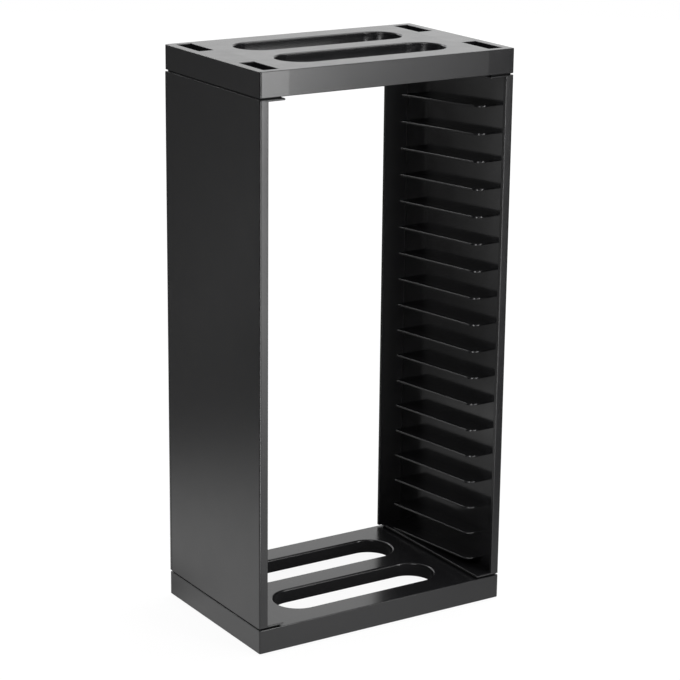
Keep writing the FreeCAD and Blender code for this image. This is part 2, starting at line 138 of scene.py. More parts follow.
def carried_round(centre: Span, half: Span, radius: float, profile: Array, steps: int) -> Array:
    """A profile carried round a rounded rectangle.

    Row i is the rectangle grown on every side by the profile's outset i, at the profile's height i. Its
    corner radius grows by the same outset, so the wall keeps its thickness round the corners.

    Args:
        centre: the rectangle's middle.
        half: half of its sizes.
        radius: its corner radius where the outset is nothing.
        profile: rows of outset and height.
        steps: chords in each corner.

    Returns:
        A grid of points, one row for each point of the profile.
    """
    outset, height = profile[:, 0], profile[:, 1]
    round_off = np.maximum(radius + outset, LEAST_ROUND)
    loops = rounded_rectangles(half[0] + outset, half[1] + outset, round_off, steps) + np.asarray(centre)
    heights = np.broadcast_to(height[:, None, None], loops.shape[:2] + (1,))
    return np.concatenate((loops, heights), axis=-1)


def filleted_outlines(corners: Array, radii: Array, steps: int) -> tuple[Array, Array]:
    """Anticlockwise closed outlines with a round arc at every corner, a batch at a time.

    Where the line turns by an angle, the arc starts the radius times the tangent of half that angle
    before the corner. Its centre lies the radius away from that start, on the side of the turn, and the
    normal at the start turns evenly through the angle to give the other points.

    Args:
        corners: outlines, corners and two coordinates.
        radii: outlines and the radius of each corner.
        steps: chords in each arc.

    Returns:
        The points, and the unit normals that point out of the outline there.
    """
    arrive = corners - np.roll(corners, 1, axis=-2)
    arrive = arrive / np.linalg.norm(arrive, axis=-1, keepdims=True)
    leave = np.roll(arrive, -1, axis=-2)
    cross = arrive[..., 0] * leave[..., 1] - arrive[..., 1] * leave[..., 0]
    turn = np.arctan2(cross, (arrive * leave).sum(axis=-1))
    start = corners - (radii * np.tan(np.abs(turn) / 2))[..., None] * arrive
    outward = np.stack((arrive[..., 1], -arrive[..., 0]), axis=-1)
    swing = np.sign(turn) * radii
    centre = start - swing[..., None] * outward
    angle = turn[..., None] * np.linspace(0, 1, steps + 1)
    cosine, sine = np.cos(angle), np.sin(angle)
    across, along = outward[..., 0, None], outward[..., 1, None]
    normals = np.stack((cosine * across - sine * along, sine * across + cosine * along), axis=-1)
    points = centre[..., None, :] + swing[..., None, None] * normals
    flat = corners.shape[:-2] + (-1, 2)
    return points.reshape(flat), normals.reshape(flat)


def without_slivers(points: Array, triangles: Array) -> Array:
    """Triangles of a flat face with none whose three corners stand in one line.

    Such a triangle has its middle corner on its longest side. It and the triangle beyond that side give
    way to two that meet along the line from the middle corner to the far corner.

    Args:
        points: the face's points.
        triangles: rows of three indices.

    Returns:
        As many triangles as before, turned as the whole ones were.
    """
    triangles = triangles.copy()
    while True:
        sides = np.roll(points[triangles], -1, axis=1) - points[triangles]
        lengths = np.linalg.norm(sides, axis=-1)
        doubled_areas = np.linalg.norm(np.cross(sides[:, 0], sides[:, 1]), axis=-1)
        flat = doubled_areas < LEAST_HEIGHT * lengths.max(axis=1)
        longest = lengths.argmax(axis=1)[:, None]
        start, end, middle = (
            np.take_along_axis(triangles, (longest + turn) % 3, axis=1) for turn in range(3))
        holds_start = (triangles[None] == start[:, None]).any(axis=-1)
        holds_end = (triangles[None] == end[:, None]).any(axis=-1)
        pairs = np.argwhere(holds_start & holds_end & flat[:, None] & ~flat[None])
        if not len(pairs):
            return triangles
        sliver, beyond = pairs[0]
        whole = triangles[beyond].copy()
        triangles[sliver] = np.where(whole == start[sliver], middle[sliver], whole)
        triangles[beyond] = np.where(whole == end[sliver], middle[sliver], whole)


class Shell:
    """The closed surfaces of one piece, gathered as whole arrays before they become a mesh."""

    def __init__(self) -> None:
        """Start with no surface."""
        self.points: Array = np.zeros((0, 3))
        self.quads: Array = np.zeros((0, 4), int)
        self.triangles: Array = np.zeros((0, 3), int)

    def _take(self, points: Array) -> int:
        """Keep some points, and give the index of the first of them."""
        self.points = np.concatenate((self.points, points.reshape(-1, 3)))
        return len(self.points) - points.size // 3

    def grid(self, points: Array, close_rows: bool = False, close_columns: bool = True,
             flip: bool = False) -> None:
        """Add a grid's quads, whose outer side is on the right of a column that goes up its rows.

        Args:
            points: rows, columns and three coordinates.
            close_rows: whether the last row joins the first.
            close_columns: whether the last column joins the first.
            flip: whether to turn the outer side over.
        """
        rows, columns = points.shape[:2]
        index = self._take(points) + np.arange(rows * columns).reshape(rows, columns)
        if close_rows:
            index = np.concatenate((index, index[:1]), axis=0)
        if close_columns:
            index = np.concatenate((index, index[:, :1]), axis=1)
        corners = (index[:-1, :-1], index[:-1, 1:], index[1:, 1:], index[1:, :-1])
        quads = np.stack(corners, axis=-1).reshape(-1, 4)
        self.quads = np.concatenate((self.quads, quads[:, ::-1] if flip else quads))

    def fill(self, loops: list[Array], facing: Place) -> None:
        """Close a flat face between an outline and its holes, looking along a direction.

        Args:
            loops: the outline's points, then those of each hole.
            facing: the direction that the face looks along.
        """
        kept = [loop[np.linalg.norm(loop - np.roll(loop, 1, axis=0), axis=-1) > WELD] for loop in loops]
        points = np.concatenate(kept)
        triangles = np.array(tessellate_polygon([loop.tolist() for loop in kept]))
        a, b, c = (points[triangles[:, corner]] for corner in range(3))
        away = (np.cross(b - a, c - a) @ np.asarray(facing)) < 0
        triangles[away] = triangles[away][:, ::-1]
        triangles = without_slivers(points, triangles)
        self.triangles = np.concatenate((self.triangles, triangles + self._take(points)))

    def carry(self, *outline: Any, steps: int = 6, capped: bool = False) -> Array:
        """Add the surface that carried_round gives.

        Args:
            outline: what carried_round takes before its steps.
            steps: chords in each corner.
            capped: whether flat faces close the first row below and the last row above.

        Returns:
            The surface's grid.
        """
        grid = carried_round(*outline, steps)
        self.grid(grid)
        if capped:
            self.fill([grid[0]], DOWN)
            self.fill([grid[-1]], UP)
        return grid

    def repeat(self, other: "Shell", shifts: Array) -> None:
        """Add another shell's surfaces once for each shift.

        Args:
            other: the shell to copy.
            shifts: rows of three coordinates.
        """
        moved = other.points[None] + shifts[:, None]
        offsets = self._take(moved) + len(other.points) * np.arange(len(shifts))[:, None, None]
        self.quads = np.concatenate((self.quads, (other.quads[None] + offsets).reshape(-1, 4)))
        self.triangles = np.concatenate((self.triangles, (other.triangles[None] + offsets).reshape(-1, 3)))

    def place(self, scale: Place, shift: Place) -> None:
        """Scale and shift all the points, and turn the faces over if the scale mirrors them.

        Args:
            scale: a factor for each axis.
            shift: what is then added.
        """
        self.points = self.points * np.asarray(scale) + np.asarray(shift)
        if np.prod(scale) < 0:
            self.quads = self.quads[:, ::-1]
            self.triangles = self.triangles[:, ::-1]

    def mesh(self, name: str) -> bpy.types.Mesh:
        """Weld the points that meet, drop the faces without area, and write a mesh in metres.

        A quad with two neighbouring corners welded together becomes a triangle.

        Args:
            name: the mesh's name.

        Returns:
            The new mesh, smooth but for the edges where its faces meet at more than SHARP_ANGLE.
        """
        keys = np.round(self.points / WELD + WELD_OFFSET).astype(np.int64)
        _, chosen, index = np.unique(keys, axis=0, return_index=True, return_inverse=True)
        index = index.reshape(-1)
        quads, triangles = index[self.quads], index[self.triangles]
        doubled = quads == np.roll(quads, -1, axis=1)
        crossed = (quads[:, 0] == quads[:, 2]) | (quads[:, 1] == quads[:, 3])
        whole = quads[~doubled.any(axis=1) & ~crossed]
        single = (doubled.sum(axis=1) == 1) & ~crossed
        thirds = quads[single][~doubled[single]].reshape(-1, 3)
        triangles = np.concatenate((triangles, thirds))
        distinct = (triangles != np.roll(triangles, -1, axis=1)).all(axis=1)
        mesh = bpy.data.meshes.new(name)
        faces = whole.tolist() + triangles[distinct].tolist()
        mesh.from_pydata((self.points[chosen] * MM).tolist(), [], faces)
        mesh.validate()
        mesh.shade_smooth()
        mesh.set_sharp_from_angle(angle=SHARP_ANGLE)
        return mesh


class NodeSheet:
    """A node tree that is written one node at a time, with a point's place at hand."""

    def __init__(self, owner: bpy.types.Material | bpy.types.World, coordinates: str = "Object") -> None:
        """Clear the nodes of a material or a world, and give them the place, whole and as X, Y and Z.

        Args:
            owner: the material or world.
            coordinates: which of the texture coordinates give the place.
        """
        owner.use_nodes = True
        self.tree = owner.node_tree
        self.tree.nodes.clear()
        self.place = self.add("ShaderNodeTexCoord").outputs[coordinates]
        self.x, self.y, self.z = self.add("ShaderNodeSeparateXYZ", {0: self.place}).outputs

    def add(self, kind: str, inputs: dict[Any, Any] | None = None, **settings: Any) -> bpy.types.Node:
        """Add a node.

        Args:
            kind: the node's type.
            inputs: for each input's name or place, a value or the output that feeds it.
            settings: the node's own properties.

        Returns:
            The new node.
        """
        node = self.tree.nodes.new(kind)
        for name, setting in settings.items():
            setattr(node, name, setting)
        for key, source in (inputs or {}).items():
            if isinstance(source, Socket):
                self.tree.links.new(source, node.inputs[key])
            else:
                node.inputs[key].default_value = source
        return node

    def math(self, operation: str, *terms: Any) -> Socket:
        """The result of a Math node on values or outputs."""
        return self.add("ShaderNodeMath", dict(enumerate(terms)), operation=operation).outputs[0]

    def product(self, *factors: Any) -> Socket:
        """The product of two or more values or outputs."""
        return reduce(lambda done, factor: self.math("MULTIPLY", done, factor), factors)

    def line(self, source: Any, gain: float, base: Any) -> Socket:
        """The gain times the source, plus the base."""
        return self.math("MULTIPLY_ADD", source, gain, base)

    def between(self, source: Any, span: Span) -> Socket:
        """One where the source lies inside the span, and nothing elsewhere."""
        above = self.math("GREATER_THAN", source, span[0])
        return self.product(above, self.math("LESS_THAN", source, span[1]))

    def ramp(self, source: Any, span: Span, levels: Span = (0.0, 1.0)) -> Socket:
        """A smooth step from one level to another, as the source goes through a span."""
        inputs = zip(("Value", "From Min", "From Max", "To Min", "To Max"), (source, *span, *levels))
        return self.add("ShaderNodeMapRange", dict(inputs), interpolation_type="SMOOTHSTEP").outputs[0]

    def noise(self, kind: Noise) -> Socket:
        """A noise at the place, from its scale in repeats per metre, its detail and its roughness."""
        inputs = {"Vector": self.place, **dict(zip(("Scale", "Detail", "Roughness"), kind))}
        return self.add("ShaderNodeTexNoise", inputs).outputs["Fac"]

    def mix(self, factor: Any, first: Any, second: Any) -> Socket:
        """A number between two numbers."""
        return self.add("ShaderNodeMix", {0: factor, 2: first, 3: second}).outputs[0]

    def blend(self, factor: Any, first: Colour, second: Colour) -> Socket:
        """A colour between two colours."""
        return self.add("ShaderNodeMix", {0: factor, 6: first, 7: second}, data_type="RGBA").outputs[2]


@dataclass(frozen=True)
class MouldedPlastic:
    """Black moulded plastic: a polished mould on most faces, and a fine eroded grain on the outer sides.

    Places are metres in the tower's frame. Each strength is a gain over the grain's share, and a base.
    """

    slot: str
    colour: Colour
    pale_colour: Colour = (0.017, 0.017, 0.018, 1.0)
    gloss_roughness: float = 0.22
    grain_roughness: float = 0.3
    wall_roughness: float = 0.22
    stop_roughness: float = 0.22
    joint_roughness: float = 0.22
    sink_slope: float = 0.0
    sink_from: float = 0.0805
    wall_span: Span = (0.0993, 0.1003)
    rim_back: float = -0.0622
    stop_span: Span = (0.0622, 0.0632)
    joint_middle: float = 0.2058
    joint_from: float = 0.18625
    grain_span: Span = (0.1021, 0.1024)
    grain_noise: Noise = (1500.0, 3.0, 0.6)
    grain_depth: float = 0.00003
    grain_strength: Span = (0.2, 0.05)
    fleck_span: Span = (0.42, 0.68)
    fleck_strength: Span = (0.8, 0.2)
    ripple_noise: Noise = (22.0, 1.0, 0.5)
    ripple_depth: float = 0.00002
    cloud_noise: Noise = (55.0, 4.0, 0.5)
    cloud_span: Span = (0.3, 0.7)
    cloud_roughness: Span = (-0.015, 0.015)
    refraction: float = 1.52

    def material(self) -> bpy.types.Material:
        """The finish as a material.

        The grain's share grows from nothing to one across grain_span of the distance from the tower's
        middle plane, so that only the outer faces of the sides carry it.

        Returns:
            The new material.
        """
        material = bpy.data.materials.new(self.slot + FINISH)
        sheet = NodeSheet(material)
        across = sheet.math("ABSOLUTE", sheet.x)
        share = sheet.ramp(across, self.grain_span)
        grain = sheet.noise(self.grain_noise)
        fleck = sheet.product(sheet.ramp(grain, self.fleck_span), sheet.line(share, *self.fleck_strength))
        shader = sheet.add("ShaderNodeBsdfPrincipled", {
            "Base Color": sheet.blend(fleck, self.colour, self.pale_colour),
            "Roughness": self._roughness(sheet, across, share),
            "Normal": self._relief(sheet, across, share, grain),
            "IOR": self.refraction,
        })
        sheet.add("ShaderNodeOutputMaterial", {"Surface": shader.outputs[0]})
        return material

    def _roughness(self, sheet: NodeSheet, across: Socket, share: Socket) -> Socket:
        """The roughness over the piece: gloss or grain, other levels on some faces, and faint clouds.

        Args:
            sheet: the material's nodes.
            across: the distance from the tower's middle plane.
            share: the grain's share.

        Returns:
            The roughness as an output.
        """
        behind_rim = sheet.math("GREATER_THAN", sheet.y, self.rim_back)
        wall = sheet.product(behind_rim, sheet.between(across, self.wall_span))
        stop = sheet.between(sheet.y, self.stop_span)
        upright = sheet.math("ABSOLUTE", sheet.math("SUBTRACT", sheet.z, self.joint_middle))
        joint = sheet.math("GREATER_THAN", upright, self.joint_from)
        level = sheet.ramp(share, (0.0, 1.0), (self.gloss_roughness, self.grain_roughness))
        masks = (wall, self.wall_roughness), (stop, self.stop_roughness), (joint, self.joint_roughness)
        for mask, roughness in masks:
            level = sheet.line(mask, roughness - self.gloss_roughness, level)
        cloud = sheet.noise(self.cloud_noise)
        return sheet.math("ADD", level, sheet.ramp(cloud, self.cloud_span, self.cloud_roughness))

    def _relief(self, sheet: NodeSheet, across: Socket, share: Socket, grain: Socket) -> Socket:
        """The normal over the piece, from the shrink marks, a faint waviness and the grain.

        Past sink_from the face falls away by sink_slope, as a wall does where it has shrunk round a thick
        block behind it.

        Args:
            sheet: the material's nodes.
            across: the distance from the tower's middle plane.
            share: the grain's share.
            grain: the grain's height.

        Returns:
            The normal as an output.
        """
        past = sheet.math("MAXIMUM", sheet.math("SUBTRACT", across, self.sink_from), 0.0)
        layers = (
            (1.0, 1.0, sheet.product(past, -self.sink_slope)),
            (1.0, self.ripple_depth, sheet.noise(self.ripple_noise)),
            (sheet.line(share, *self.grain_strength), self.grain_depth, grain),
        )
        below: dict[str, Socket] = {}
        for strength, depth, height in layers:
            inputs = {"Strength": strength, "Distance": depth, "Height": height, **below}
            below = {"Normal": sheet.add("ShaderNodeBump", inputs).outputs[0]}
        return below["Normal"]


@dataclass(frozen=True)
class FootRubber:
    """Matt non-slip rubber with a dusty, finely pitted face."""

    slot: str = "foot_rubber"
    colour: Colour = (0.03, 0.03, 0.032, 1.0)
    dusty_colour: Colour = (0.055, 0.053, 0.05, 1.0)
    pit_noise: Noise = (2600.0, 2.0, 0.5)
    pit_span: Span = (0.2, 0.8)
    pit_roughness: Span = (0.72, 0.92)
    pit_strength: float = 0.5
    pit_depth: float = 0.00005
    dust_noise: Noise = (240.0, 5.0, 0.5)
    dust_span: Span = (0.4, 0.75)

    def material(self) -> bpy.types.Material:
        """The finish as a material, with pits from a fine noise and dust from a coarser one.

        Returns:
            The new material.
        """
        material = bpy.data.materials.new(self.slot + FINISH)
        sheet = NodeSheet(material)
        pits = sheet.noise(self.pit_noise)
        dust = sheet.ramp(sheet.noise(self.dust_noise), self.dust_span)
        bump = sheet.add("ShaderNodeBump", {
            "Strength": self.pit_strength, "Distance": self.pit_depth, "Height": pits})
        shader = sheet.add("ShaderNodeBsdfPrincipled", {
            "Base Color": sheet.blend(dust, self.colour, self.dusty_colour),
            "Roughness": sheet.ramp(pits, self.pit_span, self.pit_roughness),
            "Normal": bump.outputs[0],
        })
        sheet.add("ShaderNodeOutputMaterial", {"Surface": shader.outputs[0]})
        return material


PANEL_PLASTIC = MouldedPlastic("panel_plastic", (0.012, 0.012, 0.013, 1.0), sink_slope=0.02)
SIDE_PLASTIC = MouldedPlastic(
    "side_plastic", (0.011, 0.011, 0.012, 1.0),
    wall_roughness=0.15, stop_roughness=0.55, joint_roughness=0.9)
RUBBER = FootRubber()


def linked(thing: bpy.types.Object) -> bpy.types.Object:
    """Link an object to the scene, and give it back."""
    bpy.context.scene.collection.objects.link(thing)
    return thing


def put_in_scene(shell: Shell, name: str, finish: MouldedPlastic | FootRubber, node: str) -> None:
    """Make an object of a shell in place of a CAD node.

    Args:
        shell: the piece's surfaces, in millimetres in the tower's frame.
        name: the object's name.
        finish: what its material is made from.
        node: the CAD node that it stands for.
    """
    mesh = shell.mesh(name)
    mesh.materials.append(bpy.data.materials.get(finish.slot + FINISH) or finish.material())
    piece = linked(bpy.data.objects.new(name, mesh))
    normals = piece.modifiers.new("even_normals", "WEIGHTED_NORMAL")
    normals.keep_sharp = True
    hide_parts(node)
    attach(piece, "root")
    LOG.info("%s: %d points, %d faces, for %s", name, len(mesh.vertices), len(mesh.polygons), node)


@dataclass
class EndPanel:
    """A hollow moulding that closes the tower above or below, with two slots and four corner sockets."""

    node: str
    finish: MouldedPlastic
    skin: float = 2.6
    skirt_wall: float = 2.4
    corner_round: float = 1.4
    upper_round: float = 0.6
    joint_round: float = 0.5
    slot_end_bar: float = 36.0
    slot_edge_bar: float = 19.7
    slot_middle_bar: float = 19.6
    slot_round: float = 1.5
    well_depth: float = 10.2
    well_wall: float = 2.0
    lip_round: float = 0.3
    well_draft: float = 0.2
    socket_width: float = 11.8
    socket_length: float = 32.6
    socket_side_inset: float = 6.1
    socket_end_inset: float = 5.9
    socket_wall: float = 1.6
    socket_round: float = 0.5
    stiffener_wall: float = 1.6
    stiffener_depth: float = 8.0
    stiffener_pitch: float = 45.0
    sunk: float = 0.8

    def __post_init__(self) -> None:
        """Take the outer sizes and the place from the CAD node."""
        low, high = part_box(self.node)
        self.shell = Shell()
        self.half_x, self.half_y = (high.x - low.x) / MM / 2, (high.y - low.y) / MM / 2
        self.height = (high.z - low.z) / MM
        self.lift = low.z / MM
        self.ceiling = self.height - self.skin
        both_slots = 2 * self.half_y - 2 * self.slot_edge_bar - self.slot_middle_bar
        self.slot_half = (self.half_x - self.slot_end_bar, both_slots / 4)
        self.slot_y = self.slot_middle_bar / 2 + self.slot_half[1]
        self.socket_half = (self.socket_width / 2, self.socket_length / 2)
        self.socket_x = self.half_x - self.socket_side_inset - self.socket_half[0]
        self.socket_y = self.half_y - self.socket_end_inset - self.socket_half[1]

    def build(self) -> None:
        """Make the panel and put it in its node's place."""
        outer = self._add_outside()
        slots = self._add_slots()
        sockets = self._add_sockets()
        self.shell.fill([outer[-1], *(grid[0] for grid in slots + sockets)], UP)
        self._add_hollow(outer, slots, sockets)
        self._add_stiffeners()
        self.shell.place((1.0, 1.0, 1.0), (0.0, 0.0, self.lift))
        put_in_scene(self.shell, self.node + "_moulding", self.finish, self.node)

    def _add_outside(self) -> Array:
        """Add the skirt's outside: a rounded lower edge, an upright wall and a rounded upper edge.

        Returns:
            The outside wall's grid.
        """
        lower = arc((-self.joint_round, self.joint_round), self.joint_round, -1, 0, steps=4)
        upper = arc((-self.upper_round, self.height - self.upper_round), self.upper_round, 0, 1, steps=6)
        profile = np.concatenate((lower, upper))
        return self.shell.carry((0, 0), (self.half_x, self.half_y), self.corner_round, profile)

    def _add_slots(self) -> list[Array]:
        """Add the walls of both slots: a rounded rim, the inside, the lower lip and the wall's outside.

        Returns:
            The slots' grids.
        """
        rim = arc((self.slot_round, self.height - self.slot_round), self.slot_round, 1, 2, steps=8)
        soft = self.lip_round
        lip = self.height - self.well_depth + soft
        inner = arc((soft - self.well_draft, lip), soft, 2, 3, steps=3)
        outer = arc((self.well_wall - soft, lip), soft, 3, 4, steps=3)
        top = np.array(((self.well_wall, self.ceiling),))
        profile = np.concatenate((rim, inner, outer, top))
        return [
            self.shell.carry((0, sign * self.slot_y), self.slot_half, self.slot_half[1], profile, steps=16)
            for sign in (-1, 1)
        ]

    def _add_sockets(self) -> list[Array]:
        """Add the inside of each corner socket, with a slightly rounded upper edge.

        Returns:
            The sockets' grids.
        """
        soft = self.socket_round
        rim = arc((soft, self.height - soft), soft, 1, 2, steps=4)
        profile = np.concatenate((rim, np.array(((0.0, 0.0),))))
        return [
            self.shell.carry((x, y), self.socket_half, soft, profile, steps=4)
            for y in (-self.socket_y, self.socket_y)
            for x in (-self.socket_x, self.socket_x)
        ]

    def _add_hollow(self, outer: Array, slots: list[Array], sockets: list[Array]) -> None:
        """Add the hollow under the skin, the cells beside the sockets, and the lower edge round them.

        The hollow's outline is a rectangle with a notch at each corner, where the socket's block stands.

        Args:
            outer: the outside wall's grid.
            slots: the slots' grids.
            sockets: the sockets' grids.
        """
        wall_x, wall_y = self.half_x - self.skirt_wall, self.half_y - self.skirt_wall
        notch_x = self.socket_x - self.socket_half[0] - self.socket_wall
        notch_y = self.socket_y - self.socket_half[1] - self.socket_wall
        quadrant = np.array(((wall_x, notch_y), (notch_x, notch_y), (notch_x, wall_y)))
        signs = np.array(((1, 1), (-1, 1), (-1, -1), (1, -1)))
        turns = [quadrant * sign if sign.prod() > 0 else quadrant[::-1] * sign for sign in signs]
        loops = [np.concatenate(turns)]
        side = (wall_x + self.socket_x + self.socket_half[0] + self.socket_wall) / 2
        end = (wall_y + self.socket_y + self.socket_half[1] + self.socket_wall) / 2
        cells = (
            ((side, self.socket_y), (wall_x - side, self.socket_half[1])),
            ((self.socket_x, end), (self.socket_half[0], wall_y - end)),
        )
        for sx, sy in signs:
            for (x, y), half in cells:
                box = np.array(((-1, -1), (1, -1), (1, 1), (-1, 1))) * half
                loops.append(box + (sx * x, sy * y))
        walls = [np.stack([np.insert(loop, 2, z, axis=1) for z in (self.ceiling, 0.0)]) for loop in loops]
        for wall in walls:
            self.shell.grid(wall)
        self.shell.fill([walls[0][0], *(grid[-1] for grid in slots)], DOWN)
        for wall in walls[1:]:
            self.shell.fill([wall[0]], DOWN)
        lower = [outer[0], *(wall[-1] for wall in walls), *(grid[-1] for grid in sockets)]
        self.shell.fill(lower, DOWN)

    def _add_stiffeners(self) -> None:
        """Add the cross ribs under the skin, in the bars before, between and behind the slots."""
        inner = self.slot_y - self.slot_half[1] - self.well_wall + self.sunk
        near = self.slot_y + self.slot_half[1] + self.well_wall - self.sunk
        far = self.half_y - self.skirt_wall + self.sunk
        low = self.height - self.stiffener_depth
        soft = self.stiffener_wall / 4
        profile = np.concatenate((
            arc((-soft, low + soft), soft, -1, 0, steps=3), np.array(((0.0, self.ceiling + self.sunk),))))
        for start, end in ((-far, -near), (-inner, inner), (near, far)):
            half = (self.stiffener_wall / 2, (end - start) / 2)
            for step in (-1, 0, 1):
                centre = (step * self.stiffener_pitch, (start + end) / 2)
                self.shell.carry(centre, half, soft, profile, steps=3, capped=True)


@dataclass
class SidePanel:
    """A tall moulded tray with a front rim, a back stop, two flanges, sloping shelf ribs and hollow plugs.

    In its own frame X goes in from the outer face, Y back from the front and Z up from the lower end.
    """

    side: Side
    finish: MouldedPlastic
    skin: float = 2.6
    rim_width: float = 6.7
    rim_depth: float = 3.0
    stop_width: float = 21.8
    stop_thickness: float = 2.6
    flange_width: float = 19.5
    flange_thickness: float = 2.6
    edge_round: float = 0.6
    outer_round: float = 1.4
    crisp_round: float = 0.3
    joint_round: float = 0.12
    inner_round: float = 0.03
    stop_edge_round: float = 0.15
    section_gap: float = 0.004
    joint_gap: float = 1.2
    joint_step: float = 2.6
    joint_side_step: float = 1.0
    flange_lip: float = 1.6
    plug_height: float = 8.0
    plug_wall: float = 1.8
    plug_lead_in: float = 0.8
    plug_x: float = 6.35
    plug_y: float = 6.15
    plug_width: float = 11.3
    plug_length: float = 32.1
    shelf_count: int = 18
    shelf_pitch: float = 20.0
    shelf_tilt: float = 4.2
    shelf_thickness: float = 1.5
    shelf_reach: float = 17.6
    shelf_inset: float = 16.4
    shelf_front_round: float = 6.3
    shelf_back_round: float = 1.5
    shelf_edge_round: float = 0.42
    lowest_shelf: float = 2.7
    sunk: float = 1.0

    def __post_init__(self) -> None:
        """Take the outer sizes and the place from the CAD node."""
        self.node = f"{self.side.name.lower()}_side_panel"
        low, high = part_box(self.node)
        self.shell = Shell()
        self.depth = (high.y - low.y) / MM
        self.height = (high.z - low.z) / MM - 2 * self.plug_height
        self.front = low.y / MM
        self.lift = low.z / MM + self.plug_height
        self.outer = (low.x if self.side is Side.LEFT else high.x) / MM

    def build(self) -> None:
        """Make the panel and put it in its node's place."""
        self._add_tray()
        self._add_platforms()
        heights = self.shelf_pitch * np.arange(self.shelf_count)
        self.shell.repeat(self._shelf(), heights[:, None] * np.array(UP))
        self._add_plugs()
        self.shell.place((-float(self.side.value), 1.0, 1.0), (self.outer, self.front, self.lift))
        put_in_scene(self.shell, self.node + "_moulding", self.finish, self.node)

    def _add_tray(self) -> None:
        """Add the tray: a C-shaped upright section carried from the front face to the back face.

        The section is a web with a flange at each end. Its web is as thick as the front rim, then as the
        skin, and the changes are rounded. At the back stop the section is one plain bar. At the front and
        back faces it draws in along its normals through a quarter circle, which rounds every edge there.
        """
        steps = 5
        turn = np.linspace(0, QUARTER, steps + 1)
        edge, soft, crisp = self.edge_round, self.inner_round, self.stop_edge_round
        rim, stop = self.rim_depth, self.depth - self.stop_thickness
        behind_rim, behind_stop = rim + self.section_gap, stop + self.section_gap
        ease = (1 - np.sin(turn), 1 - np.cos(turn))
        web_stations = np.concatenate((
            np.stack((rim - edge + edge * np.sin(turn), self.rim_width - edge * ease[1]), axis=-1),
            np.stack((behind_rim + soft * ease[1], self.skin + soft * ease[0]), axis=-1),
            np.stack((stop - soft * ease[0], self.skin + soft * ease[1]), axis=-1),
            np.stack((behind_stop + crisp * ease[1], self.stop_width - crisp * ease[0]), axis=-1),
        ))
        front = np.linspace(edge, self.outer_round, len(turn))
        y = np.concatenate((edge * ease[1], front, web_stations[:, 0], self.depth - edge * ease[1][::-1]))
        beyond = (2 * len(turn), len(turn))
        web = np.pad(web_stations[:, 1], beyond, constant_values=(self.rim_width, self.stop_width))
        draw = np.concatenate((edge * ease[0], 0 * front, 0 * web_stations[:, 0], edge * ease[0][::-1]))
        ahead = np.maximum(self.outer_round - y, 0.0)
        outer = np.maximum(self.outer_round - np.sqrt(self.outer_round ** 2 - ahead ** 2) - draw, 0.0)
        bar = y > stop + self.section_gap / 2
        low, high = self.joint_gap, self.height - self.joint_gap
        under, over = self.flange_thickness, self.height - self.flange_thickness
        wide = self.flange_width
        section = np.array((
            (0, low), (wide, low), (wide, under), (0, under),
            (0, over), (wide, over), (wide, high), (0, high)))
        corners = np.tile(section, (len(y), 1, 1))
        corners[:, (0, 7), 0] = outer[:, None]
        corners[:, 3:5, 0] = web[:, None]
        corners[bar, 1:7, 0] = web[bar, None]
        corners[bar, 3:5, 1] += np.array((edge, -edge))
        radii = np.full(corners.shape[:2], self.crisp_round)
        radii[:, (0, 7)] = self.joint_round
        radii[draw > 0] = edge
        radii[:, 3:5] = soft
        points, normals = filleted_outlines(corners, radii, steps)
        drawn = points - draw[:, None, None] * normals
        along = np.broadcast_to(y[:, None], drawn.shape[:2])
        grid = np.stack((drawn[..., 0], along, drawn[..., 1]), axis=-1)
        self.shell.grid(grid, flip=True)
        self.shell.fill([grid[0]], FORWARD)
        self.shell.fill([grid[-1]], BACKWARD)

    def _add_platforms(self) -> None:
        """Add the slab where each end meets its end panel: a rounded rectangle carried into the flange."""
        far = self.flange_width - self.flange_lip
        half = ((far - self.joint_side_step) / 2, self.depth / 2 - self.joint_step)
        centre = ((far + self.joint_side_step) / 2, self.depth / 2)
        inside = self.joint_gap + self.sunk / 2
        for low, high in ((0.0, inside), (self.height - inside, self.height)):
            upright = np.array(((0.0, low), (0.0, high)))
            self.shell.carry(centre, half, self.crisp_round, upright, steps=3, capped=True)

    def _shelf(self) -> Shell:
        """The lowest shelf rib, rooted inside the skin.

        In the rib's own sloping plane the outline is a rectangle with a large rounded front corner and a
        small rounded back corner. The edge is an arc, a flat and an arc again, carried along the free part
        of the outline, and flat faces close the top, the underside and the hidden root.

        Returns:
            The rib as a shell of its own.
        """
        steps = 8
        tilt = math.radians(self.shelf_tilt)
        run = (self.depth - 2 * self.shelf_inset) / math.cos(tilt)
        root = self.skin - self.sunk
        corners = np.array(((run, root), (run, self.shelf_reach), (0.0, self.shelf_reach), (0.0, root)))
        radii = np.array((0.0, self.shelf_front_round, self.shelf_back_round, 0.0))
        outlines, normals = filleted_outlines(corners[None], radii[None], steps)
        free = slice(steps, -steps)
        outline, normal = outlines[0, free], normals[0, free]
        half, soft = self.shelf_thickness / 2, self.shelf_edge_round
        profile = np.concatenate((
            arc((-soft, half - soft), soft, 1, 0, steps=4), arc((-soft, soft - half), soft, 0, -1, steps=4)))
        plan = outline[None] + profile[:, 0, None, None] * normal[None]
        lift = np.broadcast_to(profile[:, 1, None], plan.shape[:2])
        x = plan[..., 1]
        y = self.depth - self.shelf_inset - plan[..., 0] * math.cos(tilt) + lift * math.sin(tilt)
        z = self.lowest_shelf + plan[..., 0] * math.sin(tilt) + lift * math.cos(tilt)
        grid = np.stack((x, y, z), axis=-1)
        above = (0.0, math.sin(tilt), math.cos(tilt))
        shell = Shell()
        shell.grid(grid, close_columns=False, flip=True)
        shell.fill([grid[0]], above)
        shell.fill([grid[-1]], tuple(-part for part in above))
        shell.fill([np.concatenate((grid[:, 0], grid[::-1, -1]))], (-1.0, 0.0, 0.0))
        return shell

